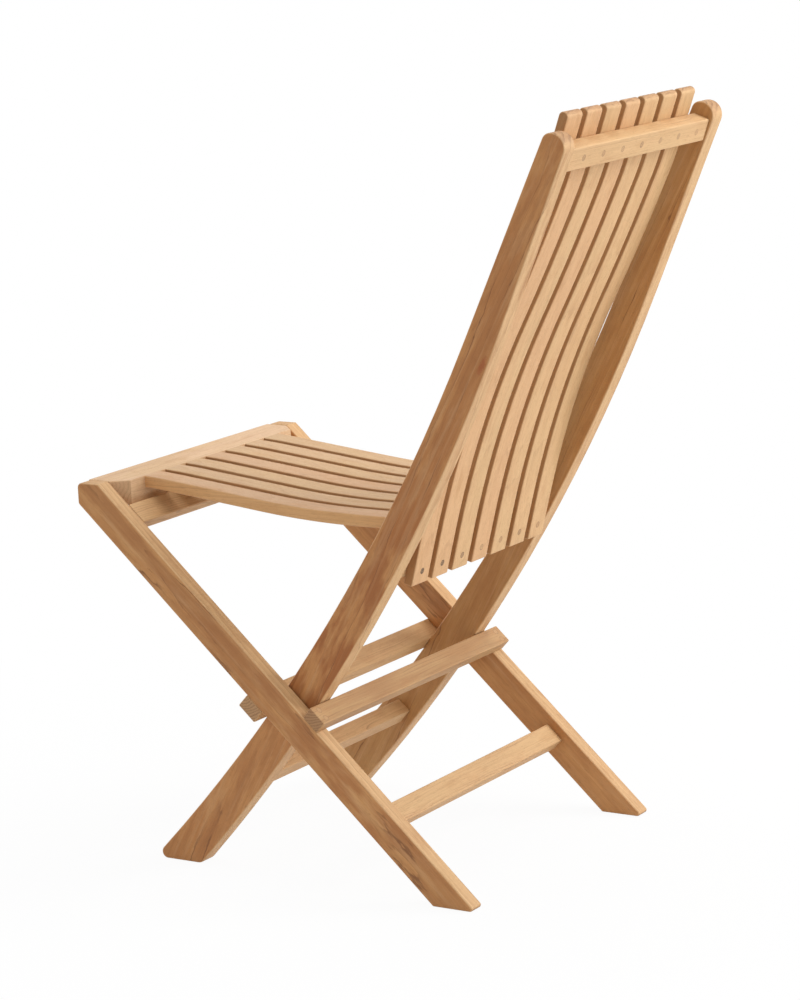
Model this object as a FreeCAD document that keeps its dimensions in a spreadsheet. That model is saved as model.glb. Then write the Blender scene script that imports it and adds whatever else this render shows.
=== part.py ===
import FreeCAD, Part
import math
import os
import re
import Sketcher

# Folding teak side chair with a slatted seat and back.
# Millimetres. X runs across the chair, Y from the front of the seat to the back, Z up from the floor.
# The origin is on the floor under the middle of the whole chair.
document = FreeCAD.newDocument("folding_chair")

SIZES = [
    ("leg_span", 441, "over the outer faces of the legs"),
    ("leg_thick", 23, "leg stock across the chair"),
    ("leg_wide", 40, "leg stock seen from the side"),
    ("leg_lean", 47.31, "degrees that the legs lean forward"),
    ("pivot_y", -55, "main pivot along the chair"),
    ("seat_height", 475.5, "top of the seat rail and of the legs"),
    ("seat_rise", 263.1, "seat top above the main pivot"),
    ("leg_nose", 25.8, "upright front face of each leg top"),
    ("nose_round", 6, "rounded front corners of the leg tops"),
    ("washer_thick", 2.3, "running gap between leg and stile"),
    ("washer_radius", 9, "pivot washer"),
    ("stile_thick", 25.6, "stile stock across the chair"),
    ("stile_wide", 46.8, "stile width at the main pivot"),
    ("stile_bow", 2415, "radius that the stile edges are sawn to"),
    ("front_lean", 38, "lean of the stile's front edge at the pivot"),
    ("front_top_lean", 25.5, "lean of its straight upper part"),
    ("rear_lean", 37.25, "lean of the stile's rear edge at the pivot"),
    ("rear_top_lean", 23.9, "lean of its straight upper part"),
    ("stile_rise", 435.7, "top of the stiles above the seat"),
    ("stile_round", 11, "rounded front corners of the stile tops"),
    ("stile_crown_round", 17, "rounded rear corners of the stile tops"),
    ("leg_toe_round", 3.5, "rounded sharp corners of the leg feet"),
    ("toe_round", 8, "rounded sharp corners of the stile feet"),
    ("heel_round", 11, "rounded blunt corners of the stile feet"),
    ("edge_round", 2.2, "eased edges of legs and stiles"),
    ("bar_round", 1.6, "eased edges of bars and rails"),
    ("slat_round", 1.8, "eased edges of slats"),
    ("slat_count", 7, "slats in the back and in the seat"),
    ("back_side_gap", 13.15, "between a stile and the nearest back slat"),
    ("back_slat_gap", 10.5, "between neighbouring back slats"),
    ("back_slat_thick", 12, "back slat thickness"),
    ("slat_set_back", 7.9, "rear face of the slats behind the stile front, where their curve reverses"),
    ("slat_turn_rise", 201.5, "where the slat curve reverses, above the seat"),
    ("slat_foot_drop", 107.5, "lower end of the slats, below the seat"),
    ("slat_top_rise", 17.1, "upper end of the slats above the stiles, at their rear face"),
    ("slat_neck_drop", 64, "straight upper end of the slats"),
    ("slat_foot_lean", 15.3, "lean of the straight foot of a slat"),
    ("slat_bend_lean", 28.44, "lean where the curve reverses"),
    ("slat_high_lean", 25.2, "lean at the end of the upper curve"),
    ("slat_top_lean", 20, "lean of the straight top of a slat"),
    ("slat_low_bow", 1202, "radius of the lower curve"),
    ("slat_neck_bow", 400, "radius of the short bend below the top rail"),
    ("slat_end_round", 5.7, "rounded upper ends of the back slats"),
    ("top_rail_rise", 8, "top rail above that bend"),
    ("top_rail_high", 27.4, "top rail height"),
    ("top_rail_thick", 22, "top rail thickness"),
    ("low_rail_rise", 9, "lower rail above the slat ends"),
    ("low_rail_thick", 28, "lower rail thickness"),
    ("front_bar_wide", 27.5, "front stop bar along the leg"),
    ("front_bar_thick", 18.8, "front stop bar out from the leg"),
    ("rear_bar_wide", 25, "rear stop bar along the leg"),
    ("rear_bar_thick", 17, "rear stop bar out from the leg"),
    ("stop_gap", 0.5, "play between a stop bar and the stile at rest"),
    ("rear_stretcher_wide", 28.2, "rear stretcher along the leg"),
    ("rear_stretcher_thick", 18, "rear stretcher thickness"),
    ("rear_stretcher_drop", 176.9, "rear stretcher below the pivot along the leg"),
    ("front_stretcher_wide", 22.7, "front stretcher along the stile"),
    ("front_stretcher_thick", 21.5, "front stretcher thickness"),
    ("front_stretcher_drop", 128.7, "front stretcher below the pivot along the stile"),
    ("front_stretcher_back", 1.7, "front stretcher behind the middle of the stile"),
    ("apron_wide", 29.5, "apron rail along the leg"),
    ("apron_thick", 16.5, "apron rail thickness"),
    ("apron_gap", 3.8, "room between the apron and the seat rail's lower rear edge"),
    ("tenon_long", 14, "tenons of rails and stretchers"),
    ("shoulder", 4, "step from a rail's face to its tenon"),
    ("tenon_play", 1, "room at the end of a tenon"),
    ("seat_rail_deep", 50.2, "seat front rail, front to rear"),
    ("seat_rail_high", 32, "seat front rail height"),
    ("seat_rail_play", 0.6, "room between seat rail and each leg"),
    ("corner_cut", 19, "slanted rear corners of the seat front rail"),
    ("seat_flat", 11.3, "level part of the rail top behind its front face"),
    ("seat_front_bow", 690, "radius of the rounded seat front"),
    ("seat_slope", 6.4, "degrees that the seat falls to the rear"),
    ("seat_level", 66.3, "level rear part of the seat"),
    ("seat_rear_bow", 1225, "radius of the hollow behind it"),
    ("seat_end_gap", 26.4, "seat slats stop short of the rear face of the back slats"),
    ("seat_side_gap", 49.4, "between a leg and the nearest seat slat"),
    ("seat_slat_gap", 11.1, "between neighbouring seat slats"),
    ("seat_slat_thick", 14.9, "seat slat thickness"),
    ("tongue_long", 14, "tongues of the seat slats in the front rail"),
    ("tongue_step", 4, "step from a seat slat to its tongue"),
    ("seat_batten_deep", 24, "seat rear rail, front to rear"),
    ("seat_batten_high", 16, "seat rear rail height"),
    ("seat_batten_inset", 8, "seat rear rail in from the slat ends"),
    ("seat_pivot_back", 19.8, "seat pivot behind the front face"),
    ("seat_pivot_drop", 13.8, "seat pivot below the rail top"),
    ("pin_radius", 4, "pivot pins"),
    ("pin_play", 0.05, "running play round the pins"),
    ("pin_grip", 15, "pin length in each piece"),
    ("plug_radius", 4, "wooden plugs over the screws"),
    ("plug_deep", 4, "plug depth"),
    ("head_radius", 3.6, "screw heads"),
    ("head_thick", 2.4, "screw head thickness"),
    ("shank_radius", 2, "screw shanks"),
    ("screw_play", 0.05, "room round plugs and screws"),
    ("bar_screw_long", 34, "screws through the stop bars"),
    ("top_screw_long", 25, "screws from the top rail into the slats"),
    ("foot_screw_long", 22, "screws from the slat feet into the lower rail"),
    ("plug_spread", 6.2, "stop bar screws either side of its centre line"),
    ("foot_screw_rise", 17, "slat foot screws above the slat ends"),
    ("top_screw_shift", -5, "top rail screws to one side of the slat centres"),
]

PLACES = [
    ("seat_screw_long", "seat_batten_high + seat_slat_thick / 2"),
    ("leg_x", "leg_span / 2 - leg_thick / 2"),
    ("leg_inner", "leg_span / 2 - leg_thick"),
    ("stile_outer", "leg_inner - washer_thick"),
    ("stile_x", "stile_outer - stile_thick / 2"),
    ("stile_inner", "stile_outer - stile_thick"),
    ("slat_gaps", "slat_count - 1"),
    ("back_slat_wide", "(2 * (stile_inner - back_side_gap) - slat_gaps * back_slat_gap) / slat_count"),
    ("back_pitch", "back_slat_wide + back_slat_gap"),
    ("seat_slat_wide", "(2 * (leg_inner - seat_side_gap) - slat_gaps * seat_slat_gap) / slat_count"),
    ("seat_pitch", "seat_slat_wide + seat_slat_gap"),
    ("pivot_z", "seat_height - seat_rise"),
    ("leg_half", "leg_wide / 2"),
    ("leg_step", "leg_half / cos(leg_lean)"),
    ("leg_foot_y", "pivot_y + pivot_z * tan(leg_lean)"),
    ("leg_crown_y", "leg_foot_y - seat_height * tan(leg_lean) + leg_step"),
    ("leg_nose_z", "seat_height - leg_nose"),
    ("front_reach", "leg_nose_z * tan(leg_lean) - leg_foot_y + leg_step"),
    ("stile_top", "seat_height + stile_rise"),
    ("stile_half", "stile_wide / 2"),
    ("stile_lean", "(front_lean + rear_lean) / 2"),
    ("front_start_y", "pivot_y - stile_half * cos(stile_lean)"),
    ("front_start_z", "pivot_z + stile_half * sin(stile_lean)"),
    ("front_centre_y", "front_start_y - stile_bow * cos(front_lean)"),
    ("front_centre_z", "front_start_z + stile_bow * sin(front_lean)"),
    ("front_foot_y", "front_centre_y + sqrt(stile_bow ^ 2 - front_centre_z ^ 2)"),
    ("front_bend_y", "front_centre_y + stile_bow * cos(front_top_lean)"),
    ("front_bend_z", "front_centre_z - stile_bow * sin(front_top_lean)"),
    ("front_top_y", "front_bend_y + (stile_top - front_bend_z) * tan(front_top_lean)"),
    ("rear_start_y", "pivot_y + stile_half * cos(stile_lean)"),
    ("rear_start_z", "pivot_z - stile_half * sin(stile_lean)"),
    ("rear_centre_y", "rear_start_y - stile_bow * cos(rear_lean)"),
    ("rear_centre_z", "rear_start_z + stile_bow * sin(rear_lean)"),
    ("rear_foot_y", "rear_centre_y + sqrt(stile_bow ^ 2 - rear_centre_z ^ 2)"),
    ("rear_bend_y", "rear_centre_y + stile_bow * cos(rear_top_lean)"),
    ("rear_bend_z", "rear_centre_z - stile_bow * sin(rear_top_lean)"),
    ("rear_top_y", "rear_bend_y + (stile_top - rear_bend_z) * tan(rear_top_lean)"),
    ("turn_z", "seat_height + slat_turn_rise"),
    ("turn_y", "front_bend_y + (turn_z - front_bend_z) * tan(front_top_lean) + slat_set_back"),
    ("rise_y", "turn_y - slat_low_bow * (cos(slat_foot_lean) - cos(slat_bend_lean))"),
    ("rise_z", "turn_z - slat_low_bow * (sin(slat_bend_lean) - sin(slat_foot_lean))"),
    ("sole_z", "seat_height - slat_foot_drop"),
    ("sole_y", "rise_y - (rise_z - sole_z) * tan(slat_foot_lean)"),
    ("tip_z", "stile_top + slat_top_rise"),
    ("neck_z", "tip_z - slat_neck_drop"),
    ("crest_z", "neck_z - slat_neck_bow * (sin(slat_high_lean) - sin(slat_top_lean))"),
    ("slat_high_bow", "(crest_z - turn_z) / (sin(slat_bend_lean) - sin(slat_high_lean))"),
    ("crest_y", "turn_y + slat_high_bow * (cos(slat_high_lean) - cos(slat_bend_lean))"),
    ("neck_y", "crest_y + slat_neck_bow * (cos(slat_top_lean) - cos(slat_high_lean))"),
    ("tip_y", "neck_y + slat_neck_drop * tan(slat_top_lean)"),
    ("cross_angle", "leg_lean + front_lean"),
    ("front_bar_in", "stop_gap + (stile_half - leg_half * cos(cross_angle)) / sin(cross_angle)"),
    ("front_bar_out", "front_bar_in - front_bar_thick / tan(cross_angle)"),
    ("rear_bar_in", "front_bar_in"),
    ("rear_bar_out", "rear_bar_in - rear_bar_thick / tan(cross_angle)"),
    ("stretcher_lean", "stile_lean + front_stretcher_drop / stile_bow * 180 / pi"),
    ("stretcher_y", "pivot_y + stile_bow * (cos(stretcher_lean) - cos(stile_lean))"),
    ("stretcher_z", "pivot_z - stile_bow * (sin(stretcher_lean) - sin(stile_lean))"),
    ("joint_y", "seat_rail_deep - front_reach"),
    ("apron_top", "(pivot_y - joint_y) * sin(leg_lean) - apron_gap"
                  " + (seat_height - seat_rail_high - pivot_z) * cos(leg_lean)"),
    ("brow_y", "seat_flat - front_reach"),
    ("brow_drop", "seat_front_bow - sqrt(seat_front_bow ^ 2 - (joint_y - brow_y) ^ 2)"),
    ("joint_z", "seat_height - brow_drop"),
    ("slat_bow_under", "seat_front_bow - seat_slat_thick"),
    ("joint_under_z", "seat_height - seat_front_bow"
                      " + sqrt(slat_bow_under ^ 2 - (joint_y - brow_y) ^ 2)"),
    ("fall_y", "brow_y + seat_front_bow * sin(seat_slope)"),
    ("fall_z", "seat_height - seat_front_bow * (1 - cos(seat_slope))"),
    ("seat_end_y", "rise_y - seat_end_gap"),
    ("level_y", "seat_end_y - seat_level"),
    ("dip_y", "level_y - seat_rear_bow * sin(seat_slope)"),
    ("dip_z", "fall_z - (dip_y - fall_y) * tan(seat_slope)"),
    ("level_z", "dip_z - seat_rear_bow * (1 - cos(seat_slope))"),
    ("batten_top", "level_z - seat_slat_thick"),
    ("batten_under", "batten_top - seat_batten_high"),
    ("batten_rear", "seat_end_y - seat_batten_inset"),
    ("seat_pivot_y", "seat_pivot_back - front_reach"),
    ("seat_pivot_z", "seat_height - seat_pivot_drop"),
    ("plug_bore", "plug_radius + screw_play"),
    ("head_bore", "head_radius + screw_play"),
    ("shank_bore", "shank_radius + screw_play"),
    ("pin_bore", "pin_radius + pin_play"),
]

size_names = [row[0] for row in SIZES]
place_names = [row[0] for row in PLACES]


def formula(text, inside_places=False):
    """Turns the plain names in a formula into references to the two sheets."""
    def reference(match):
        word = match.group()
        if word in size_names:
            return "dims." + word
        if word in place_names and not inside_places:
            return "places." + word
        return word
    return re.sub(r"[a-z_]+[a-z_0-9]*", reference, str(text))


dims = document.addObject("Spreadsheet::Sheet", "dims")
for row, (name, number, meaning) in enumerate(SIZES, 1):
    dims.set(f"A{row}", str(number))
    dims.setAlias(f"A{row}", name)
    dims.set(f"B{row}", meaning)
document.recompute()

places = document.addObject("Spreadsheet::Sheet", "places")
for row, (name, text) in enumerate(PLACES, 1):
    places.set(f"A{row}", "=" + formula(text, inside_places=True))
    places.setAlias(f"A{row}", name)
document.recompute()

parts = []


def value(text):
    """The number that a formula gives now."""
    return float(document.getObject("places").evalExpression(formula(text)))


def bind(item, target, text):
    item.setExpression(target, formula(text))


def spot(y, z, lean, along, out):
    """A point reached from (y, z) by going along a leaning line and then out to its rear side."""
    return (f"{y} + ({along}) * sin({lean}) + ({out}) * cos({lean})",
            f"{z} + ({along}) * cos({lean}) - ({out}) * sin({lean})")


def block(y, z, lean, low, high, inner, outer):
    """The four corners of a rectangle that leans with a leg, stile or slat."""
    return [spot(y, z, lean, low, inner), spot(y, z, lean, low, outer),
            spot(y, z, lean, high, outer), spot(y, z, lean, high, inner)]


def leg_block(low, high, inner, outer):
    return block("pivot_y", "pivot_z", "-leg_lean", low, high, inner, outer)


def new_body(name, x="0"):
    body = document.addObject("PartDesign::Body", name)
    body.Label = name
    body.AllowCompound = True
    body.Placement.Base.x = value(x)
    bind(body, "Placement.Base.x", x)
    parts.append(body)
    return body


def new_sketch(body, role):
    sketch = body.newObject("Sketcher::SketchObject", body.Name + "_sketch")
    plane = [item for item in body.Origin.OriginFeatures if item.Role == role][0]
    sketch.AttachmentSupport = [(plane, "")]
    sketch.MapMode = "FlatFace"
    return sketch


def pin_point(sketch, item, end, across, up):
    """Holds one point of a sketch at two formulas."""
    for kind, text in (("DistanceX", across), ("DistanceY", up)):
        index = sketch.addConstraint(Sketcher.Constraint(kind, item, end, value(text)))
        bind(sketch, f"Constraints[{index}]", text)


def side_sketch(body, corners, x="0"):
    """A closed outline seen from the side. A corner is (y, z), or (y, z, radius, turn) where an
    arc leads to the next corner, turning left for +1 and right for -1."""
    sketch = new_sketch(body, "YZ_Plane")
    sketch.AttachmentOffset = FreeCAD.Placement(FreeCAD.Vector(0, 0, value(x)), FreeCAD.Rotation())
    bind(sketch, "AttachmentOffset.Base.z", x)
    ends = []
    for corner, following in zip(corners, corners[1:] + corners[:1]):
        start = FreeCAD.Vector(value(corner[0]), value(corner[1]), 0)
        stop = FreeCAD.Vector(value(following[0]), value(following[1]), 0)
        if len(corner) == 2:
            ends.append((sketch.addGeometry(Part.LineSegment(start, stop)), 1, 2))
            continue
        radius, turn = value(corner[2]), corner[3]
        chord = stop - start
        left = FreeCAD.Vector(-chord.y, chord.x, 0) / chord.Length
        centre = (start + stop) / 2 + left * turn * math.sqrt(radius ** 2 - chord.Length ** 2 / 4)
        first, last = (start, stop) if turn > 0 else (stop, start)
        angles = [math.atan2(point.y - centre.y, point.x - centre.x) for point in (first, last)]
        circle = Part.Circle(centre, FreeCAD.Vector(0, 0, 1), radius)
        item = sketch.addGeometry(Part.ArcOfCircle(circle, *angles))
        ends.append((item, 1, 2) if turn > 0 else (item, 2, 1))
    for (item, start, stop), (after, after_start, after_stop) in zip(ends, ends[1:] + ends[:1]):
        sketch.addConstraint(Sketcher.Constraint("Coincident", item, stop, after, after_start))
    for corner, (item, start, stop) in zip(corners, ends):
        pin_point(sketch, item, start, corner[0], corner[1])
        if len(corner) > 2:
            index = sketch.addConstraint(Sketcher.Constraint("Radius", item, value(corner[2])))
            bind(sketch, f"Constraints[{index}]", corner[2])
    return sketch


def dot_sketch(body, frame, dots, radius, depth="0"):
    """Circles on a tilted plane: frame is (y, z, tilt), whose local Z points out of the wood,
    dots are (x, local y), and depth is how far under the surface the plane lies."""
    y, z, tilt = frame
    base_y = f"{y} + ({depth}) * sin({tilt})"
    base_z = f"{z} - ({depth}) * cos({tilt})"
    sketch = new_sketch(body, "XY_Plane")
    turn = FreeCAD.Rotation(FreeCAD.Vector(1, 0, 0), value(tilt))
    sketch.AttachmentOffset = FreeCAD.Placement(FreeCAD.Vector(0, value(base_y), value(base_z)), turn)
    bind(sketch, "AttachmentOffset.Base.y", base_y)
    bind(sketch, "AttachmentOffset.Base.z", base_z)
    bind(sketch, "AttachmentOffset.Rotation.Angle", tilt)
    for across, up in dots:
        centre = FreeCAD.Vector(value(across), value(up), 0)
        circle = Part.Circle(centre, FreeCAD.Vector(0, 0, 1), value(radius))
        item = sketch.addGeometry(circle)
        pin_point(sketch, item, 3, across, up)
        index = sketch.addConstraint(Sketcher.Constraint("Radius", item, value(radius)))
        bind(sketch, f"Constraints[{index}]", radius)
    return sketch


def ring_sketch(body, y, z, radius, x="0"):
    """A circle seen from the side, for pins and their holes."""
    sketch = new_sketch(body, "YZ_Plane")
    sketch.AttachmentOffset = FreeCAD.Placement(FreeCAD.Vector(0, 0, value(x)), FreeCAD.Rotation())
    bind(sketch, "AttachmentOffset.Base.z", x)
    centre = FreeCAD.Vector(value(y), value(z), 0)
    item = sketch.addGeometry(Part.Circle(centre, FreeCAD.Vector(0, 0, 1), value(radius)))
    pin_point(sketch, item, 3, y, z)
    index = sketch.addConstraint(Sketcher.Constraint("Radius", item, value(radius)))
    bind(sketch, f"Constraints[{index}]", radius)
    return sketch


def work(body, kind, sketch, length, both=False, reverse=False):
    """A Pad or Pocket of a sketch, checked to have added or removed wood."""
    before = body.Shape.Volume if body.Tip else 0
    feature = body.newObject("PartDesign::" + kind, body.Name + "_" + kind.lower())
    feature.Profile = sketch
    feature.Length = value(length)
    bind(feature, "Length", length)
    feature.SideType = "Symmetric" if both else "One side"
    feature.Reversed = reverse
    document.recompute()
    change = body.Shape.Volume - before
    if (change <= 0) if kind == "Pad" else (change >= 0):
        raise ValueError(f"{feature.Name} changes nothing")
    return feature


def soften(body, radius, chosen=lambda edge: True):
    """Rounds the edges of a body that are chosen."""
    names = [f"Edge{number}" for number, edge in enumerate(body.Shape.Edges, 1) if chosen(edge)]
    tip = body.Tip
    feature = body.newObject("PartDesign::Fillet", body.Name + "_fillet")
    feature.Base = (tip, names)
    feature.Radius = value(radius)
    bind(feature, "Radius", radius)
    document.recompute()
    return feature


def crosswise(edge):
    """True for an edge that runs straight across the chair."""
    start, stop = edge.Vertexes[0].Point, edge.Vertexes[-1].Point
    return abs(stop.x - start.x) > 1 and abs(stop.y - start.y) + abs(stop.z - start.z) < 0.001


def corner_edge(y, z):
    """Chooses the crosswise edge at one corner of an outline."""
    def chosen(edge):
        centre = edge.CenterOfMass
        return crosswise(edge) and math.hypot(centre.y - value(y), centre.z - value(z)) < 0.5
    return chosen


def drill(body, frame, dots, radius, length, depth="0"):
    return work(body, "Pocket", dot_sketch(body, frame, dots, radius, depth), length)


def studs(body, frame, dots, radius, length, depth="0"):
    return work(body, "Pad", dot_sketch(body, frame, dots, radius, depth), length, reverse=True)


def cross_piece(name, corners, half_length, tenon=None, rounding="bar_round"):
    """A rail or bar of one outline across the chair, with a tenon at each end if it has any."""
    body = new_body(name)
    work(body, "Pad", side_sketch(body, corners), f"2 * ({half_length})", both=True)
    soften(body, rounding)
    if tenon:
        work(body, "Pad", side_sketch(body, tenon), f"2 * ({half_length} + tenon_long)", both=True)
    return body


def mortise(body, tenon, side, thick):
    """A blind hole for a tenon in the inner face of a leg or stile, side +1 for the left one."""
    sketch = side_sketch(body, tenon, f"-({side}) * {thick} / 2")
    return work(body, "Pocket", sketch, "tenon_long + tenon_play", reverse=side > 0)


def paired_rounds(name, y, z, radius, inner, outer, bore=None):
    """The same round piece at each side of the chair, from x = inner to x = outer."""
    body = new_body(name)
    work(body, "Pad", ring_sketch(body, y, z, radius), f"2 * ({outer})", both=True)
    work(body, "Pocket", ring_sketch(body, y, z, f"2 * {radius}"), f"2 * ({inner})", both=True)
    if bore:
        work(body, "Pocket", ring_sketch(body, y, z, bore), f"2 * ({outer}) + 1", both=True)
    return body


def screws(name, frame, dots, length, plug=True):
    """Screws set in below the surface, and the wooden plugs that close their holes."""
    under = "plug_deep" if plug else "0"
    body = new_body(name + "_screws")
    studs(body, frame, dots, "head_radius", "head_thick", under)
    studs(body, frame, dots, "shank_radius", f"{length} - head_thick", f"{under} + head_thick")
    if plug:
        body = new_body(name + "_plugs")
        studs(body, frame, dots, "plug_radius", "plug_deep - screw_play")


def screw_holes(body, frame, dots, length, plug=True):
    """Holes for those screws, drilled in from the surface of the frame."""
    under = "plug_deep" if plug else "0"
    drill(body, frame, dots, "plug_bore" if plug else "head_bore", f"{under} + head_thick")
    drill(body, frame, dots, "shank_bore", f"{under} + {length} + screw_play")


# Tenons, in the side view.
apron_tenon = leg_block("apron_top - apron_wide + shoulder", "apron_top - shoulder",
                        "leg_half - apron_thick + shoulder", "leg_half - shoulder")
rear_tenon = leg_block("shoulder - rear_stretcher_wide / 2 - rear_stretcher_drop",
                       "rear_stretcher_wide / 2 - shoulder - rear_stretcher_drop",
                       "shoulder - rear_stretcher_thick / 2", "rear_stretcher_thick / 2 - shoulder")
front_tenon = block("stretcher_y", "stretcher_z", "stretcher_lean",
                    "shoulder - front_stretcher_wide / 2", "front_stretcher_wide / 2 - shoulder",
                    "front_stretcher_back + shoulder - front_stretcher_thick / 2",
                    "front_stretcher_back + front_stretcher_thick / 2 - shoulder")
top_tenon = block("neck_y", "neck_z", "slat_top_lean",
                  "top_rail_rise + shoulder", "top_rail_rise + top_rail_high - shoulder",
                  "shoulder", "top_rail_thick - shoulder")
low_inner = "-(back_slat_thick + low_rail_thick)"
low_high = "(batten_under - sole_z + back_slat_thick * sin(-slat_foot_lean)) / cos(slat_foot_lean)"
low_tenon = block("sole_y", "sole_z", "slat_foot_lean",
                  "low_rail_rise + shoulder", f"{low_high} - 3 * shoulder",
                  f"{low_inner} + shoulder", "-(back_slat_thick + shoulder)")

# Frames for screws: a point on the surface, and the tilt that turns local Z out of the wood.
front_bar_frame = (*spot("pivot_y", "pivot_z", "-leg_lean", "front_bar_in + front_bar_wide / 2",
                         "-(leg_half + front_bar_thick)"), "90 + leg_lean")
rear_bar_frame = (*spot("pivot_y", "pivot_z", "-leg_lean", "-(rear_bar_in + rear_bar_wide / 2)",
                        "leg_half + rear_bar_thick"), "leg_lean - 90")
top_rail_frame = (*spot("neck_y", "neck_z", "slat_top_lean",
                        "top_rail_rise + top_rail_high / 2", "top_rail_thick"),
                  "-(90 + slat_top_lean)")
foot_frame = (*spot("sole_y", "sole_z", "slat_foot_lean", "foot_screw_rise", "0"),
              "-(90 + slat_foot_lean)")
batten_frame = ("batten_rear - seat_batten_deep / 2", "batten_under", "180")

count = int(dims.slat_count)
slat_steps = [(count + 1) / 2 - number for number in range(1, count + 1)]
back_dots = [(f"{step} * back_pitch", "0") for step in slat_steps]
top_dots = [(f"{step} * back_pitch + top_screw_shift", "0") for step in slat_steps]
seat_dots = [(f"{step} * seat_pitch", "0") for step in slat_steps]
bar_dots = [(f"{side} * leg_x", f"{step} * plug_spread") for side in (1, -1) for step in (1, -1)]
leg_dots = [("0", f"{step} * plug_spread") for step in (1, -1)]

# Legs: straight boards outside the stiles, cut level at the floor and at the seat.
leg_corners = [
    ("leg_foot_y - leg_step", "0"),
    ("leg_foot_y + leg_step", "0"),
    ("leg_crown_y", "seat_height"),
    ("-front_reach", "seat_height"),
    ("-front_reach", "leg_nose_z"),
]
for name, side in (("leg_left", 1), ("leg_right", -1)):
    leg = new_body(name, f"{side} * leg_x")
    work(leg, "Pad", side_sketch(leg, leg_corners), "leg_thick", both=True)
    soften(leg, "nose_round", corner_edge("-front_reach", "seat_height"))
    soften(leg, "nose_round", corner_edge("-front_reach", "leg_nose_z"))
    soften(leg, "leg_toe_round", corner_edge("leg_foot_y + leg_step", "0"))
    soften(leg, "edge_round")
    mortise(leg, apron_tenon, side, "leg_thick")
    mortise(leg, rear_tenon, side, "leg_thick")
    inner_face = f"-({side}) * leg_thick / 2"
    for y, z in (("pivot_y", "pivot_z"), ("seat_pivot_y", "seat_pivot_z")):
        hole = ring_sketch(leg, y, z, "pin_bore", inner_face)
        work(leg, "Pocket", hole, "pin_grip + pin_play", reverse=side > 0)
    for frame in (front_bar_frame, rear_bar_frame):
        drill(leg, frame, leg_dots, "shank_bore", "plug_deep + bar_screw_long + screw_play")

# Stiles: boards sawn to a long bow that straightens towards the top.
stile_corners = [
    ("front_foot_y", "0"),
    ("rear_foot_y", "0", "stile_bow", 1),
    ("rear_bend_y", "rear_bend_z"),
    ("rear_top_y", "stile_top"),
    ("front_top_y", "stile_top"),
    ("front_bend_y", "front_bend_z", "stile_bow", -1),
]
for name, side in (("stile_left", 1), ("stile_right", -1)):
    stile = new_body(name, f"{side} * stile_x")
    work(stile, "Pad", side_sketch(stile, stile_corners), "stile_thick", both=True)
    soften(stile, "stile_round", corner_edge("front_top_y", "stile_top"))
    soften(stile, "stile_crown_round", corner_edge("rear_top_y", "stile_top"))
    soften(stile, "toe_round", corner_edge("front_foot_y", "0"))
    soften(stile, "heel_round", corner_edge("rear_foot_y", "0"))
    soften(stile, "edge_round")
    for tenon in (front_tenon, top_tenon, low_tenon):
        mortise(stile, tenon, side, "stile_thick")
    hole = ring_sketch(stile, "pivot_y", "pivot_z", "pin_bore", f"{side} * stile_thick / 2")
    work(stile, "Pocket", hole, "pin_grip + pin_play", reverse=side < 0)

# Rails, bars and stretchers that join the two legs.
cross_piece("apron_rail", leg_block("apron_top - apron_wide", "apron_top",
                                    "leg_half - apron_thick", "leg_half"),
            "leg_inner", apron_tenon)
cross_piece("rear_stretcher", leg_block("-rear_stretcher_wide / 2 - rear_stretcher_drop",
                                        "rear_stretcher_wide / 2 - rear_stretcher_drop",
                                        "-rear_stretcher_thick / 2", "rear_stretcher_thick / 2"),
            "leg_inner", rear_tenon)
front_bar_corners = [
    spot("pivot_y", "pivot_z", "-leg_lean", "front_bar_in", "-leg_half"),
    spot("pivot_y", "pivot_z", "-leg_lean", "front_bar_in + front_bar_wide", "-leg_half"),
    spot("pivot_y", "pivot_z", "-leg_lean", "front_bar_in + front_bar_wide",
         "-(leg_half + front_bar_thick)"),
    spot("pivot_y", "pivot_z", "-leg_lean", "front_bar_out", "-(leg_half + front_bar_thick)"),
]
rear_bar_corners = [
    spot("pivot_y", "pivot_z", "-leg_lean", "-rear_bar_in", "leg_half"),
    spot("pivot_y", "pivot_z", "-leg_lean", "-(rear_bar_in + rear_bar_wide)", "leg_half"),
    spot("pivot_y", "pivot_z", "-leg_lean", "-(rear_bar_in + rear_bar_wide)",
         "leg_half + rear_bar_thick"),
    spot("pivot_y", "pivot_z", "-leg_lean", "-rear_bar_out", "leg_half + rear_bar_thick"),
]
for prefix, corners, frame in (("front_bar", front_bar_corners, front_bar_frame),
                               ("rear_bar", rear_bar_corners, rear_bar_frame)):
    bar = cross_piece(prefix.replace("bar", "stop_bar"), corners, "leg_span / 2")
    screw_holes(bar, frame, bar_dots, "bar_screw_long")
    screws(prefix, frame, bar_dots, "bar_screw_long")

# Rails and the stretcher that join the two stiles.
cross_piece("front_stretcher", block("stretcher_y", "stretcher_z", "stretcher_lean",
                                     "-front_stretcher_wide / 2", "front_stretcher_wide / 2",
                                     "front_stretcher_back - front_stretcher_thick / 2",
                                     "front_stretcher_back + front_stretcher_thick / 2"),
            "stile_inner", front_tenon)
top_rail = cross_piece("top_back_rail", block("neck_y", "neck_z", "slat_top_lean", "top_rail_rise",
                                              "top_rail_rise + top_rail_high",
                                              "0", "top_rail_thick"),
                       "stile_inner", top_tenon)
screw_holes(top_rail, top_rail_frame, top_dots, "top_rail_thick")
screws("top_rail", top_rail_frame, top_dots, "top_screw_long")

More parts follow.
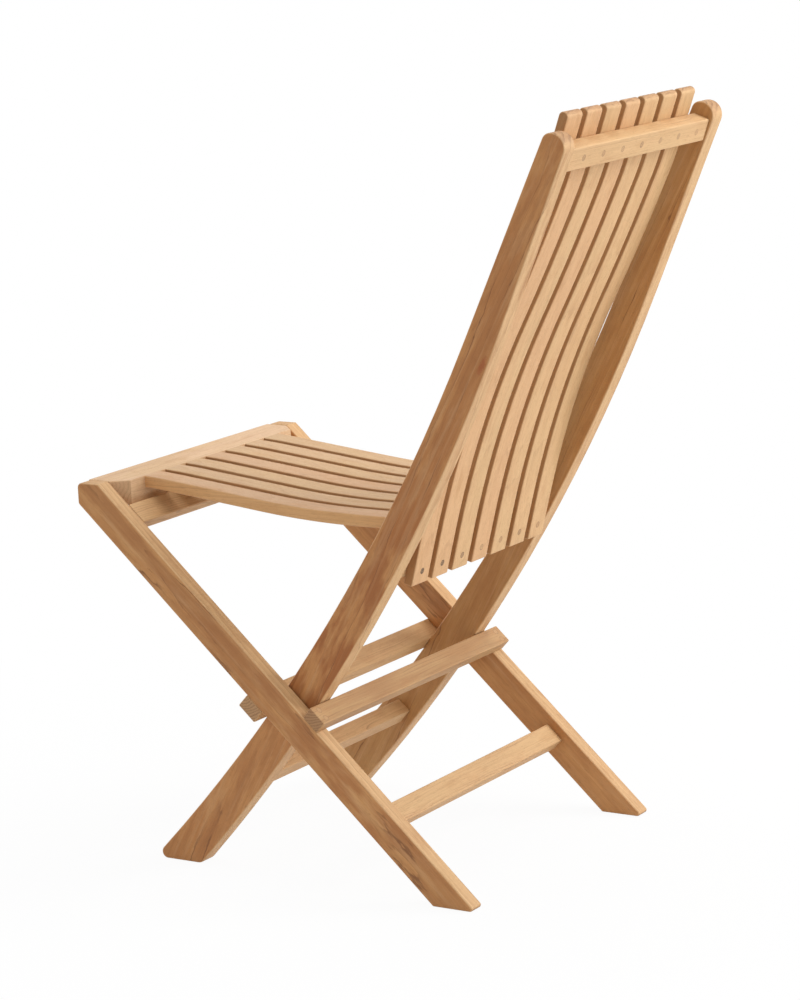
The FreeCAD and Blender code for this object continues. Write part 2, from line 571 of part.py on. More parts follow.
# The lower back rail carries the slat feet, and the seat comes down on its level top.
rail_base = spot("sole_y", "sole_z", "slat_foot_lean", "low_rail_rise", "-back_slat_thick")
rail_front = spot("sole_y", "sole_z", "slat_foot_lean", "low_rail_rise", low_inner)
low_corners = [
    rail_base,
    (f"{rail_base[0]} + (batten_under - ({rail_base[1]})) * tan(slat_foot_lean)", "batten_under"),
    (f"{rail_front[0]} + (batten_under - ({rail_front[1]})) * tan(slat_foot_lean)", "batten_under"),
    rail_front,
]
low_rail = cross_piece("lower_back_rail", low_corners, "stile_inner", low_tenon)
drill(low_rail, foot_frame, back_dots, "shank_bore", "plug_deep + foot_screw_long + screw_play")
screws("slat_foot", foot_frame, back_dots, "foot_screw_long")

# Back slats: a straight foot, a forward bow for the lumbar, a reversed curve, a short bend below
# the top rail and a straight rounded top.
def slat_face(out):
    """Rear (out 0) or front (out 1) corners of a back slat from the foot to the top."""
    shift = f"-{out} * back_slat_thick"
    return [spot("sole_y", "sole_z", "slat_foot_lean", "0", shift),
            spot("rise_y", "rise_z", "slat_foot_lean", "0", shift),
            spot("turn_y", "turn_z", "slat_bend_lean", "0", shift),
            spot("crest_y", "crest_z", "slat_high_lean", "0", shift),
            spot("neck_y", "neck_z", "slat_top_lean", "0", shift),
            spot("tip_y", "tip_z", "slat_top_lean", "0", shift)]


rear_face, front_face = slat_face(0), slat_face(1)
back_slat_corners = [
    rear_face[0],
    (*rear_face[1], "slat_low_bow", -1),
    (*rear_face[2], "slat_high_bow", 1),
    (*rear_face[3], "slat_neck_bow", 1),
    rear_face[4],
    rear_face[5],
    front_face[5],
    (*front_face[4], "slat_neck_bow - back_slat_thick", -1),
    (*front_face[3], "slat_high_bow - back_slat_thick", -1),
    (*front_face[2], "slat_low_bow + back_slat_thick", 1),
    front_face[1],
    front_face[0],
]
top_slat_frame = (*spot("neck_y", "neck_z", "slat_top_lean",
                        "top_rail_rise + top_rail_high / 2", "0"), "-(90 + slat_top_lean)")
for number, step in enumerate(slat_steps, 1):
    slat = new_body(f"back_slat_{number}", f"{step} * back_pitch")
    work(slat, "Pad", side_sketch(slat, back_slat_corners), "back_slat_wide", both=True)
    for end in (rear_face[5], front_face[5]):
        soften(slat, "slat_end_round", corner_edge(*end))
    soften(slat, "slat_round")
    screw_holes(slat, foot_frame, [("0", "0")], "foot_screw_long")
    drill(slat, top_slat_frame, [("top_screw_shift", "0")], "shank_bore",
          "top_screw_long + plug_deep - top_rail_thick + screw_play")

# Seat front rail, hinged between the leg tops, with slanted rear corners.
seat_rail_corners = [
    ("-front_reach", "seat_height - seat_rail_high"),
    ("joint_y", "seat_height - seat_rail_high"),
    ("joint_y", "joint_z", "seat_front_bow", 1),
    ("brow_y", "seat_height"),
    ("-front_reach", "seat_height"),
]
tongue = [
    ("joint_y - tongue_long", "joint_under_z + tongue_step"),
    ("joint_y + tongue_step", "joint_under_z + tongue_step"),
    ("joint_y + tongue_step", "joint_z - tongue_step"),
    ("joint_y - tongue_long", "joint_z - tongue_step"),
]
tongue_hole = [
    ("joint_y - tongue_long - tenon_play", "joint_under_z + tongue_step"),
    ("joint_y + tongue_step", "joint_under_z + tongue_step"),
    ("joint_y + tongue_step", "joint_z - tongue_step"),
    ("joint_y - tongue_long - tenon_play", "joint_z - tongue_step"),
]
seat_rail = new_body("seat_front_rail")
work(seat_rail, "Pad", side_sketch(seat_rail, seat_rail_corners),
     "2 * (leg_inner - seat_rail_play)", both=True)
chamfer_edges = [f"Edge{number}" for number, edge in enumerate(seat_rail.Shape.Edges, 1)
                 if not crosswise(edge) and abs(edge.CenterOfMass.y - value("joint_y")) < 0.001
                 and abs(edge.CenterOfMass.x) > value("leg_inner") / 2]
pad = seat_rail.Tip
chamfer = seat_rail.newObject("PartDesign::Chamfer", "seat_front_rail_chamfer")
chamfer.Base = (pad, chamfer_edges)
chamfer.Size = value("corner_cut")
bind(chamfer, "Size", "corner_cut")
document.recompute()
soften(seat_rail, "bar_round", lambda edge: abs(edge.CenterOfMass.y - value("joint_y")) > 0.01)
for step in slat_steps:
    sketch = side_sketch(seat_rail, tongue_hole, f"{step} * seat_pitch")
    work(seat_rail, "Pocket", sketch, "seat_slat_wide - 2 * tongue_step", both=True)
for side in (1, -1):
    end_face = f"{side} * (leg_inner - seat_rail_play)"
    hole = ring_sketch(seat_rail, "seat_pivot_y", "seat_pivot_z", "pin_bore", end_face)
    work(seat_rail, "Pocket", hole, "pin_grip + pin_play", reverse=side < 0)

# Seat slats: tongued into the front rail, sloping back into a level rear part.
seat_slat_corners = [
    ("joint_y", "joint_z", "seat_front_bow", -1),
    ("fall_y", "fall_z"),
    ("dip_y", "dip_z", "seat_rear_bow", 1),
    ("level_y", "level_z"),
    ("seat_end_y", "level_z"),
    ("seat_end_y", "batten_top"),
    ("level_y", "batten_top", "seat_rear_bow + seat_slat_thick", -1),
    ("dip_y - seat_slat_thick * sin(seat_slope)", "dip_z - seat_slat_thick * cos(seat_slope)"),
    ("fall_y - seat_slat_thick * sin(seat_slope)", "fall_z - seat_slat_thick * cos(seat_slope)",
     "slat_bow_under", 1),
    ("joint_y", "joint_under_z"),
]
for number, step in enumerate(slat_steps, 1):
    slat = new_body(f"seat_slat_{number}", f"{step} * seat_pitch")
    work(slat, "Pad", side_sketch(slat, seat_slat_corners), "seat_slat_wide", both=True)
    soften(slat, "slat_round", lambda edge: abs(edge.CenterOfMass.y - value("joint_y")) > 0.01)
    work(slat, "Pad", side_sketch(slat, tongue), "seat_slat_wide - 2 * tongue_step", both=True)
    drill(slat, batten_frame, [("0", "0")], "shank_bore",
          "seat_screw_long + screw_play")

batten = cross_piece("seat_rear_rail",
                     [("batten_rear - seat_batten_deep", "batten_under"),
                      ("batten_rear", "batten_under"),
                      ("batten_rear", "batten_top"),
                      ("batten_rear - seat_batten_deep", "batten_top")],
                     f"{slat_steps[0]} * seat_pitch + seat_slat_wide / 2")
screw_holes(batten, batten_frame, seat_dots, "seat_screw_long", plug=False)
screws("seat_rail", batten_frame, seat_dots, "seat_screw_long", plug=False)

# Pivot hardware: blind steel pins, with a washer between leg and stile.
paired_rounds("main_pivot_pins", "pivot_y", "pivot_z", "pin_radius",
              "stile_outer - pin_grip", "leg_inner + pin_grip")
paired_rounds("pivot_washers", "pivot_y", "pivot_z", "washer_radius",
              "stile_outer", "leg_inner", "pin_bore")
paired_rounds("seat_pivot_pins", "seat_pivot_y", "seat_pivot_z", "pin_radius",
              "leg_inner - seat_rail_play - pin_grip", "leg_inner + pin_grip")

document.recompute()
for item in document.Objects:
    if "Invalid" in item.State or "Error" in item.State:
        raise ValueError(f"{item.Name} is {item.State}")
os.makedirs("parts", exist_ok=True)
for body in parts:
    if body.Shape.isNull() or not body.Shape.isValid():
        raise ValueError(f"{body.Name} has no valid shape")
    body.Shape.exportStep(f"parts/{body.Label}.step")
    box = body.Shape.BoundBox
    print(f"{body.Label}: {len(body.Shape.Solids)} solid, {body.Shape.Volume / 1000:.1f} cm3,"
          f" y {box.YMin:.1f} to {box.YMax:.1f}, z {box.ZMin:.1f} to {box.ZMax:.1f}")
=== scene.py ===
import math
from collections import namedtuple

import bpy
from mathutils import Matrix, Vector


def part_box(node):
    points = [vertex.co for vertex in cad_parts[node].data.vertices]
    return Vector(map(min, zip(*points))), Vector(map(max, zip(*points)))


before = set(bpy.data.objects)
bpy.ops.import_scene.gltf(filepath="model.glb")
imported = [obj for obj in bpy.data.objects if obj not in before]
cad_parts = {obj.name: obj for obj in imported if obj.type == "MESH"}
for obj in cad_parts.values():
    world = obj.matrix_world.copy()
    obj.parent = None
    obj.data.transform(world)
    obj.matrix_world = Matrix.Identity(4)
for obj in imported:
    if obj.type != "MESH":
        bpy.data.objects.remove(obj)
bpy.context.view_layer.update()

# Camera
# A long lens at chest height behind the chair and to its left, tipped down a little, as the photograph
# was taken. Its place and turn come from the straight edges of the chair.
camera_place = Vector((3.5004, 2.1925, 1.2810))
camera_turn = math.radians(122.23)
camera_dip = math.radians(11.56)
camera_roll = math.radians(-2.447)
focal_pixels = 3433.5
picture_high = 1000

look = Vector((-math.sin(camera_turn) * math.cos(camera_dip),
               math.cos(camera_turn) * math.cos(camera_dip), -math.sin(camera_dip)))
level_right = look.cross(Vector((0, 0, 1))).normalized()
level_up = level_right.cross(look)
right = math.cos(camera_roll) * level_right + math.sin(camera_roll) * level_up
up = math.cos(camera_roll) * level_up - math.sin(camera_roll) * level_right
lens = bpy.data.cameras.new("camera")
lens.sensor_fit = "VERTICAL"
lens.sensor_height = 24
lens.lens = focal_pixels / picture_high * lens.sensor_height
lens.clip_end = 100
camera = bpy.data.objects.new("camera", lens)
camera.matrix_world = Matrix.Translation(camera_place) @ Matrix((right, up, -look)).transposed().to_4x4()
bpy.context.scene.collection.objects.link(camera)
bpy.context.scene.camera = camera


# Stiles
# The two long boards that lean back from the front feet to the top of the back. They are sawn to a
# long bow from 26 mm teak, so their grain runs straight while their edges curve through it.
class Signal:
    """A shader socket that takes part in Python expressions."""

    def __init__(self, tree, socket=None):
        self.tree = tree
        self.socket = socket

    def node(self, kind, settings=None, inputs=None, output=0):
        """Adds a node of a kind: its settings first, then the values or links of its sockets."""
        made = self.tree.nodes.new("ShaderNode" + kind)
        for name, value in (settings or {}).items():
            if name == "steps":
                made.color_ramp.interpolation = "CONSTANT"
                ramp = made.color_ramp.elements
                while len(ramp) < len(value):
                    ramp.new(1)
                for number, (stop, level) in enumerate(zip(ramp, value)):
                    stop.position = number / len(value)
                    stop.color = (level, level, level, 1)
            else:
                setattr(made, name, value)
        for name, value in (inputs or {}).items():
            if isinstance(value, Signal):
                self.tree.links.new(value.socket, made.inputs[name])
            else:
                made.inputs[name].default_value = value
        return Signal(self.tree, made.outputs[output]) if len(made.outputs) else made

    def combine(self, operation, first, second):
        kind = "VectorMath" if self.socket.type == "VECTOR" else "Math"
        return self.node(kind, {"operation": operation}, {0: first, 1: second})

    def __add__(self, other):
        return self.combine("ADD", self, other)

    def __radd__(self, other):
        return self.combine("ADD", other, self)

    def __sub__(self, other):
        return self.combine("SUBTRACT", self, other)

    def __rsub__(self, other):
        return self.combine("SUBTRACT", other, self)

    def __mul__(self, other):
        return self.combine("MULTIPLY", self, other)

    def __rmul__(self, other):
        return self.combine("MULTIPLY", other, self)

    def __truediv__(self, other):
        return self.combine("DIVIDE", self, other)

    def __rtruediv__(self, other):
        return self.combine("DIVIDE", other, self)

    def __pow__(self, other):
        return self.combine("POWER", self, other)

    def __rpow__(self, other):
        return self.combine("POWER", other, self)

    def apply(self, operation, other=0):
        """Any other operation on this value, such as its fraction or the larger of two values."""
        return self.combine(operation, self, other)

    def size(self):
        return self.apply("ABSOLUTE")

    def dot(self, direction):
        """How far a vector reaches along a direction."""
        return self.node("VectorMath", {"operation": "DOT_PRODUCT"}, {0: self, 1: direction}, "Value")

    def between(self, low, high, start=0, stop=1):
        """Goes smoothly from start to stop as this value goes from low to high."""
        reach = {"Value": self, "From Min": low, "From Max": high, "To Min": start, "To Max": stop}
        return self.node("MapRange", {"interpolation_type": "SMOOTHSTEP"}, reach)

    def noise(self, stretch, detail=2, rough=0.5):
        """Noise from 0 to 1 over this vector, with grains of a size each way in the vector's units."""
        squeezed = self * tuple(1 / length for length in stretch)
        return self.node("TexNoise", {}, {"Vector": squeezed, "Scale": 1, "Detail": detail,
                                          "Roughness": rough})

    def blend(self, share, other):
        """This colour with another laid over it where the share is 1."""
        share_in, under_in, over_in, colour_out = 0, 6, 7, 2
        colours = {share_in: share, under_in: self, over_in: other}
        return self.node("Mix", {"data_type": "RGBA"}, colours, colour_out)


def empty_material(name):
    """A new material without nodes, and the signal that its first nodes are added by."""
    material = bpy.data.materials.new(name)
    material.use_nodes = True
    material.node_tree.nodes.clear()
    return material, Signal(material.node_tree)


def leaning(degrees):
    """The upward direction of a piece that leans back by an angle, and the normal of its rear edge."""
    angle = math.radians(degrees)
    return (Vector((0, math.sin(angle), math.cos(angle))), Vector((0, math.cos(angle), -math.sin(angle))))


leftward = Vector((1, 0, 0))
millimetres = 1000
pale_teak = (0.70, 0.43, 0.215, 1)
honey_teak = (0.66, 0.375, 0.155, 1)
rose_teak = (0.68, 0.395, 0.20, 1)
sand_teak = (0.66, 0.44, 0.215, 1)
# The next two tones are painted shade, for the side faces of the stiles.
shaded_side_teak = (0.58, 0.262, 0.086, 1)
shaded_olive_side = (0.51, 0.262, 0.088, 1)
heart_teak = (0.34, 0.130, 0.042, 1)
red_teak = (0.38, 0.128, 0.034, 1)
knot_red = (0.36, 0.09, 0.025, 1)
line_brown = (0.16, 0.062, 0.024, 1)
pore_brown = (0.26, 0.125, 0.055, 1)
end_brown = (0.40, 0.205, 0.095, 1)


class Board:
    """The wood of one board, measured in millimetres from its middle: length runs along the grain,
    depth and width across it. Each seed is another part of the tree."""

    seed_shift = (37.7, 61.3, 173.9)

    def __init__(self, start, along, across, middle, seed):
        self.seed = seed
        self.place = start.node("TexCoord", output="Object")
        facing = start.node("TexCoord", output="Normal")
        side = along.cross(across)
        self.length, self.depth, self.width = [
            (self.place.dot(direction) - middle.dot(direction)) * millimetres
            for direction in (along, across, side)]
        self.space = start.node("CombineXYZ", {}, {0: self.width, 1: self.depth, 2: self.length})
        self.space = self.space + tuple(seed * shift for shift in self.seed_shift)

        self.end = facing.dot(along).size()
        self.flat = facing.dot(across).size().apply("MAXIMUM", facing.dot(side).size())
        self.flat = self.flat.apply("MAXIMUM", self.end)
        self.left_face = facing.dot(leftward).between(0.6, 0.95)
        self.right_face = facing.dot(leftward).between(-0.6, -0.95)

        self.sway = self.grain(40, 190) - 0.5
        self.drift = self.grain(60, 300) - 0.5
        self.tremor = self.grain(8, 46, 3, 0.55) - 0.5
        self.broken = self.grain(14, 75).between(0.40, 0.62)

    def grain(self, thick, long, detail=2, rough=0.5):
        """Noise with grains of a thickness, stretched to a length along the board."""
        return self.space.noise((thick, thick, long), detail, rough)


def growth_rings(board, pith, ring, taper):
    """Rings round a pith that lies off the board: how far through its year the wood is at a place, the
    dark late wood, and the brown line that ends some years."""
    sway_reach, drift_reach = 22, 28
    years_apart = 19.3
    growth_end = 0.95
    line_wide = 0.9 / ring
    across_pith = board.width - pith[0] + board.sway * sway_reach
    beyond_pith = board.depth - pith[1] + board.drift * drift_reach
    radius = (across_pith * across_pith + beyond_pith * beyond_pith) ** 0.5
    rings = (radius + board.length * taper + board.tremor * (0.8 * ring)) / ring
    turn = rings.apply("FRACT")
    number = rings.apply("FLOOR") + board.seed * years_apart
    year = number.node("TexWhiteNoise", {"noise_dimensions": "1D"}, {"W": number}, "Value")
    late_wood = turn.between(0.10, growth_end) * turn.between(growth_end, 1.0, 1, 0) * (0.35 + 0.65 * year)
    line = turn.between(growth_end - line_wide, 0.94) * turn.between(growth_end, 0.99, 1, 0)
    return turn, late_wood, line * year.between(0.30, 0.80) * board.broken


Band = namedtuple("Band", "depth half_width strength low high")


def heart_band(board, band):
    """The layers of a dark stripe along the board: its own tone, and a brown line at its rim."""
    sway_reach, tremor_reach = 14, 4
    fade = 90
    stripe = board.depth - band.depth + board.sway * sway_reach + board.tremor * tremor_reach
    stripe = stripe.size()
    stretch = board.length.between(band.low, band.low + fade)
    stretch = stretch * board.length.between(band.high - fade, band.high, 1, 0) * band.strength
    inside = stripe.between(band.half_width - 2.5, band.half_width + 0.6, 1, 0)
    rim = stripe.between(band.half_width - 1.2, band.half_width)
    rim = rim * stripe.between(band.half_width, band.half_width + 0.8, 1, 0)
    return [(inside * stretch, heart_teak), (rim * board.broken * stretch, line_brown)]


def teak(name, along, across, middle, seed, base=pale_teak, pith=(60, 18), ring=3.4, taper=0.012,
         figure=0.5, warmth=0.5, side_shade_share=0.0, side_shade_tone=shaded_side_teak, heart=0.3, band=None, mottle=0.0,
         end_depth=1.0, marks=()):
    """Teak with its grain along a direction, laid up in layers of colour. Figure, warmth and heart say
    how strong its grain, its honey clouds and its heartwood are. The side faces are painted darker in
    the tone side_shade_tone, a painted shade, as far as side_shade_share says, those facing right less
    so, and mottle says how far redder clouds cover them, most of them below the middle. The rounded
    edges are painted lighter, a painted highlight. end_depth is how dark the end grain is, and marks are
    pairs (function of place, colour)."""
    material, start = empty_material("teak_" + name)
    board = Board(start, along, across, middle, seed)
    turn, late_wood, ring_line = growth_rings(board, pith, ring, taper)
    fibres = board.grain(0.7, 45, 2, 0.6)
    threads = board.grain(2.4, 120, 3, 0.6)
    streaks = board.grain(7, 260, 3, 0.55)
    pores = board.grain(0.5, 7, 1).between(0.62, 0.74)
    heart_start = 0.60 - 0.16 * heart
    heartwood = board.grain(15, 240, 3).between(heart_start, heart_start + 0.10)
    patch = board.grain(30, 150).between(0.34, 0.66)
    cloud = board.grain(16, 55, 3, 0.6)
    dim = cloud.between(0.50, 0.72)
    bright = cloud.between(0.50, 0.30)
    open_ends = board.grain(0.8, 9, 2, 0.6).between(0.52, 0.66)
    cut_across = board.end.between(0.60, 0.88) * end_depth
    # Painted highlight: the rounded edges are painted lighter below, and made a little rougher.
    highlit_edges = board.flat.between(0.80, 0.98, 1, 0)

    layers = [(0.22 + 0.36 * patch, rose_teak if warmth > 0.5 else sand_teak),
              (dim * (warmth * 0.45), honey_teak)]
    lined = 1.0
    sides = board.left_face + board.right_face
    # Painted shade: the side faces are painted the darker side tone, fully where they face left and less
    # where they face right.
    if side_shade_share:
        right_shade_share = 0.45
        layers.append(((board.left_face + board.right_face * right_shade_share) * side_shade_share, side_shade_tone))
        lined = 0.45 + 0.55 * sides
    if mottle:
        reddest = board.length.between(-330, -180, 0.3, 1) * board.length.between(-120, 260, 1, 0.45)
        redder = board.grain(18, 70, 3, 0.6).between(0.36, 0.56) * reddest
        layers.append((redder * sides * mottle, red_teak))
    if band:
        layers += heart_band(board, band)
    layers += [(heartwood * (0.75 * heart), heart_teak),
               (dim * (0.34 * figure), heart_teak),
               (bright * (0.22 * figure), base),
               (streaks.between(0.50, 0.72) * (0.26 * figure), heart_teak),
               (streaks.between(0.50, 0.28) * (0.30 * figure), base),
               (late_wood * (0.24 * figure), heart_teak),
               (ring_line * (0.80 * figure) * lined, line_brown),
               (threads.between(0.42, 0.75) * 0.16, heart_teak),
               (fibres.between(0.40, 0.75) * 0.13, line_brown),
               (pores * 0.35, pore_brown),
               (cut_across * 0.55, end_brown),
               (cut_across * turn.between(0.45, 0.95) * 0.45, line_brown),
               (cut_across * open_ends * 0.35, line_brown)]
    layers += [(shape(board.place), stain) for shape, stain in marks]
    # The painted highlight on the rounded edges.
    layers.append((highlit_edges * 0.22, pale_teak))

    colour = start.node("RGB")
    colour.socket.default_value = base
    for share, tone in layers:
        colour = colour.blend(share, tone)
    height = 0.5 * fibres - 0.9 * pores + 0.25 * late_wood
    bump = start.node("Bump", {}, {"Strength": 0.35, "Distance": 0.0004, "Height": height})
    roughness = 0.52 + 0.14 * fibres + 0.12 * pores + 0.06 * highlit_edges
    shader = start.node("BsdfPrincipled", {}, {"Base Color": colour, "Roughness": roughness,
                                               "Normal": bump, "Specular IOR Level": 0.35})
    start.node("OutputMaterial", {}, {"Surface": shader})
    return material


def knot(centre, along, size, strength=0.8):
    """A small knot at a point of the chair, stretched along the grain, its size in millimetres."""
    ragged_grain = 0.0025

    def shape(place):
        offset = place - Vector(centre)
        lengthwise = offset.dot(along)
        reach = (offset.dot(offset) - lengthwise * lengthwise * 0.9) / (size / millimetres) ** 2
        ragged = place.noise((ragged_grain,) * 3) * 0.9
        return (reach + ragged).between(0.3, 1.5, strength, 0)
    return shape


def dress(node, material):
    """Gives a piece its material."""
    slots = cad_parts[node].data.materials
    slots.clear()
    slots.append(material)


def middle_of(node):
    """The middle of a piece's box."""
    low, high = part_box(node)
    return (low + high) / 2


stile_up, stile_rear = leaning(29)
left_knot = knot((0.1952, 0.2262, 0.6455), stile_up, 5)
right_knot = knot((-0.1696, 0.2797, 0.7711), stile_up, 1.8, 0.65)
# The side tones are painted shade on the side faces of the stiles: a darker brown on the left stile and an
# olive brown on the right stile's inner face.
for node, seed, side_shade_tone, band, mottle, mark in (
        ("stile_left", 3, shaded_side_teak, Band(9, 11, 0.5, -310, 270), 0.95, (left_knot, knot_red)),
        ("stile_right", 8, shaded_olive_side, Band(-4, 10, 0.25, -400, 300), 0.1, (right_knot, line_brown))):
    dress(node, teak(node, stile_up, stile_rear, middle_of(node), seed, pith=(-34, 5), ring=9, taper=0.03,
                     figure=0.9, side_shade_share=0.92, side_shade_tone=side_shade_tone, heart=0.25, band=band,
                     mottle=mottle, marks=[mark]))

# Legs
# The two straight outer boards that carry the seat at their tops and cross the stiles at the pivot.
# They are 40 by 23 mm teak with eased edges, cut level at the floor.
leg_lean = -47.31
leg_up, leg_rear = leaning(leg_lean)
# The side faces of the legs are painted this darker tone, a painted shade.
leg_shaded_side = (0.61, 0.295, 0.102, 1)
leg_band = Band(7, 9, 0.36, -120, 420)
for node, seed, mottle in (("leg_left", 14, 0.6), ("leg_right", 21, 0.2)):
    dress(node, teak(node, leg_up, leg_rear, middle_of("main_pivot_pins"), seed, pith=(38, 4), ring=8.5,
                     taper=0.025, figure=0.85, side_shade_share=0.88, side_shade_tone=leg_shaded_side, heart=0.12,
                     band=leg_band, mottle=mottle))

# Back slats
# Seven bowed slats, sawn from thicker stock, screwed to the rails at their feet and near their tops.
# Each comes from another board, so their colours differ a little.
slat_up, slat_rear = leaning(23)
# The side faces of the slats, in the gaps between them, are painted this dark brown, a painted shade.
slat_gap_shade = (0.37, 0.175, 0.057, 1)
slat_warmth = (0.6, 0.55, 0.15, 0.55, 0.3, 0.1, 0.3)
for number, warmth in enumerate(slat_warmth, 1):
    node = f"back_slat_{number}"
    dress(node, teak(node, slat_up, slat_rear, middle_of(node), 30 + number * 2.3, pith=(6, 70), ring=6.5,
                     figure=0.40, warmth=warmth, side_shade_share=0.8, side_shade_tone=slat_gap_shade, heart=0.08))

# Cross rails of the back
# The top rail and the lower rail are tenoned between the stiles, and so is the front stretcher. Their
# grain runs across the chair.
top_rail_lean = 20
for node, lean, seed in (("top_back_rail", top_rail_lean, 51), ("lower_back_rail", 15, 53),
                         ("front_stretcher", 41, 55)):
    dress(node, teak(node, leftward, leaning(lean)[1], middle_of(node), seed, pith=(55, 30), ring=3.2,
                     figure=0.4, warmth=0.3, heart=0.1))

# Cross pieces of the legs
# The apron and the rear stretcher are tenoned between the legs. The two stop bars are screwed across
# them just above and below the pivot, where the stiles come to rest on them.
brown_teak = (0.40, 0.208, 0.088, 1)
tan_teak = (0.65, 0.395, 0.195, 1)
for node, seed, base, heart in (("apron_rail", 61, tan_teak, 0.3), ("front_stop_bar", 63, tan_teak, 0.1),
                                ("rear_stop_bar", 66, brown_teak, 0.3),
                                ("rear_stretcher", 69, pale_teak, 0.1)):
    dress(node, teak(node, leftward, leg_rear, middle_of(node), seed, base=base, pith=(20, 12),
                     figure=0.45, warmth=0.4, heart=heart))

# Seat
# Seven slats are tongued into the front rail, which turns on pins between the leg tops, and a small
# rail under their rear ends holds them together. The side faces of the slats are painted darker, a
# painted shade: dark brown in the gaps between them and a warmer tone on the outer side of the first slat.
seat_along = Vector((0, 1, 0))
seat_up = Vector((0, 0, 1))
seat_teak = (0.61, 0.405, 0.245, 1)
# Painted shade: a warmer tone for the outer side face of the first slat, and a dark brown for the side
# faces in the gaps.
seat_shaded_side = (0.77, 0.435, 0.180, 1)
gap_shade_brown = (0.40, 0.20, 0.075, 1)
rail_teak = (0.77, 0.52, 0.33, 1)
seat_slats = 7
for number in range(1, seat_slats + 1):
    node = f"seat_slat_{number}"
    warmth = 0.30 + 0.3 * (number * 5 % seat_slats) / seat_slats
    dress(node, teak(node, seat_along, seat_up, middle_of(node), 80 + number * 2.9, base=seat_teak,
                     pith=(10, 80), ring=5.5, figure=0.4, warmth=warmth, side_shade_share=0.85,
                     side_shade_tone=seat_shaded_side if number == 1 else gap_shade_brown, heart=0.12))
for node, seed in (("seat_front_rail", 95), ("seat_rear_rail", 97)):
    dress(node, teak(node, leftward, seat_up, middle_of(node), seed, base=rail_teak, pith=(60, 24),
                     ring=3.6, figure=0.45, warmth=0.4, heart=0.15))

# Plugs
# Short round teak plugs are glued in over the screws, with their end grain out. Age and glue have
# darkened some of them, most of all the two at the feet of the left slats.
plug_radius = 0.004
stain_grey = (0.075, 0.045, 0.024, 1)


def plug_row(node, count, up, spread):
    """For a place on a row of plugs: the number of the nearest plug from the right, and how far off
    its middle the place is, in radii. A spread is half the distance between two rows."""
    low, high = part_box(node)
    first = low.x + plug_radius
    pitch = (high.x - low.x - 2 * plug_radius) / (count - 1)
    centre = middle_of(node)

    def nearest_plug(place):
        step = place.dot(leftward) - first
        nearest = (step / pitch).apply("ROUND")
        sideways = step - nearest * pitch
        upward = place.dot(up) - centre.dot(up)
        if spread:
            upward = upward.size() - spread
        return nearest, (sideways * sideways + upward * upward) ** 0.5 / plug_radius
    return nearest_plug


def glue_rim(row, strength):
    """A dark line of glue round each plug of a row."""
    return lambda place: row(place)[1].between(0.72, 0.92, 0, strength)


def plug_stain(row, levels):
    """Darkens each plug of a row by its own level, counted from the left of the chair."""
    speckle_grain = 0.0012

    def shape(place):
        nearest = row(place)[0]
        level = nearest.node("ValToRGB", {"steps": levels[::-1]}, {"Fac": (nearest + 0.5) / len(levels)})
        speckle = place.noise((speckle_grain,) * 3).between(0.35, 0.6)
        return level * (0.4 + 0.6 * speckle)
    return shape


bar_plug_spread = 0.0062
for node, lean, spread, rim, levels, seed in (
        ("top_rail_plugs", top_rail_lean, 0, 0.12, (0.25, 0.15, 0.1, 0.25, 0.1, 0.15, 0.05), 101),
        ("slat_foot_plugs", 15.3, 0, 0.45, (0.95, 0.9, 0.5, 0.05, 0.1, 0.4, 0.1), 103),
        ("front_bar_plugs", leg_lean, bar_plug_spread, 0.4, (0.1, 0.1), 105),
        ("rear_bar_plugs", leg_lean, bar_plug_spread, 0.4, (0.1, 0.1), 107)):
    up_wood, out = leaning(lean)
    row = plug_row(node, len(levels), up_wood, spread)
    dress(node, teak(node, out, leftward, middle_of(node), seed, figure=0.3, heart=0.1, end_depth=0.45,
                     marks=[(plug_stain(row, levels), stain_grey), (glue_rim(row, rim), line_brown)]))

# Screws, pins and washers
# Brass wood screws under the plugs and under the seat, and the brass pins and washers of the pivots.
# Nearly all of it is hidden in the wood.
new_brass = (0.72, 0.52, 0.22, 1)
worn_brass = (0.45, 0.30, 0.12, 1)
brass, start = empty_material("brass")
worn_grain = 0.004
worn = start.node("TexCoord", output="Object").noise((worn_grain,) * 3, 3)
tone = start.node("RGB")
tone.socket.default_value = new_brass
metal = start.node("BsdfPrincipled", {}, {"Base Color": tone.blend(worn * 0.5, worn_brass), "Metallic": 1,
                                          "Roughness": 0.25 + 0.3 * worn})
start.node("OutputMaterial", {}, {"Surface": metal})
for node in ("top_rail_screws", "slat_foot_screws", "front_bar_screws", "rear_bar_screws",
             "seat_rail_screws", "main_pivot_pins", "pivot_washers", "seat_pivot_pins"):
    dress(node, brass)


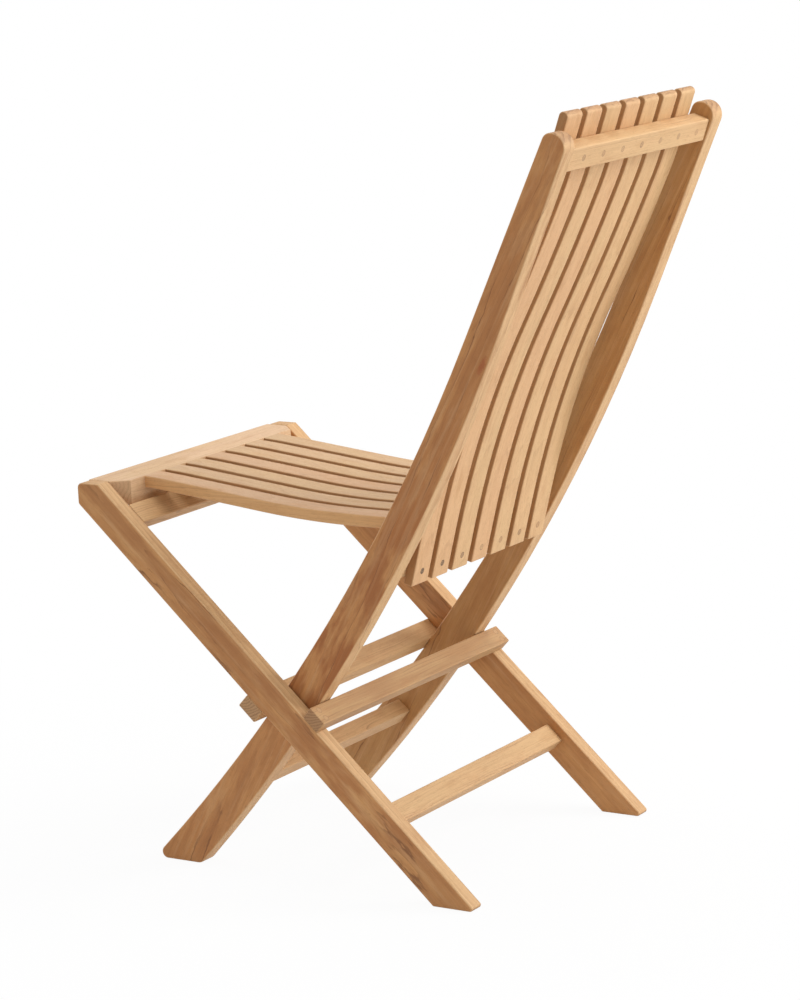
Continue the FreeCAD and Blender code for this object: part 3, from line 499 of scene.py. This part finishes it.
# Studio
# A pale floor that stays white behind the chair and keeps a soft shadow, a broad soft light from the
# rear right, one overhead, a faint one from the front and an even white surround.
def background_rays(start):
    """1 for the rays that show the white background: to the camera, or by way of gloss or glass."""
    kinds = ("Is Camera Ray", "Is Glossy Ray", "Is Transmission Ray")
    camera_ray, glossy_ray, glass_ray = [start.node("LightPath", output=kind) for kind in kinds]
    return camera_ray + glossy_ray + glass_ray


white = (1, 1, 1, 1)
floor_grey = (0.86, 0.86, 0.86, 1)
floor_half = 30
floor_top = -0.0002
shadow_share = 0.06
shadow_near, shadow_far = 0.4, 1.2
corners = [(x, y, floor_top) for x, y in ((-floor_half, -floor_half), (floor_half, -floor_half),
                                          (floor_half, floor_half), (-floor_half, floor_half))]
floor_mesh = bpy.data.meshes.new("floor")
floor_mesh.from_pydata(corners, [], [(0, 1, 2, 3)])
floor = bpy.data.objects.new("floor", floor_mesh)
bpy.context.scene.collection.objects.link(floor)
paint, start = empty_material("floor")
seen = background_rays(start)
matt = start.node("BsdfDiffuse", {}, {"Color": floor_grey})
blank = start.node("Emission", {}, {"Color": white, "Strength": 1})
ground = start.node("TexCoord", output="Object")
away = start.node("VectorMath", {"operation": "LENGTH"}, {0: ground}, "Value")
covered = seen * away.between(shadow_near, shadow_far, 1 - shadow_share, 1)
start.node("OutputMaterial", {}, {"Surface": start.node("MixShader", {}, {0: covered, 1: matt, 2: blank})})
floor_mesh.materials.append(paint)

surround = 0.61
world = bpy.data.worlds.new("studio")
world.use_nodes = True
world.node_tree.nodes.clear()
start = Signal(world.node_tree)
seen = background_rays(start)
glow = start.node("Background", {}, {"Color": white, "Strength": surround + (1 - surround) * seen})
start.node("OutputWorld", {}, {"Surface": glow})
bpy.context.scene.world = world

chair_middle = Vector((0, 0, 0.45))
for name, place, wide, power in (("key", Vector((-1.9, 2.6, 1.9)), 1.8, 78),
                                 ("overhead", Vector((-0.3, 0.2, 3.2)), 2.0, 28),
                                 ("front fill", Vector((-0.5, -3.0, 0.9)), 2.0, 18)):
    lamp = bpy.data.lights.new(name, "AREA")
    lamp.size = wide
    lamp.energy = power
    light = bpy.data.objects.new(name, lamp)
    light.location = place
    light.rotation_euler = (chair_middle - place).to_track_quat("-Z", "Y").to_euler()
    bpy.context.scene.collection.objects.link(light)
bpy.context.scene.view_settings.view_transform = "Standard"
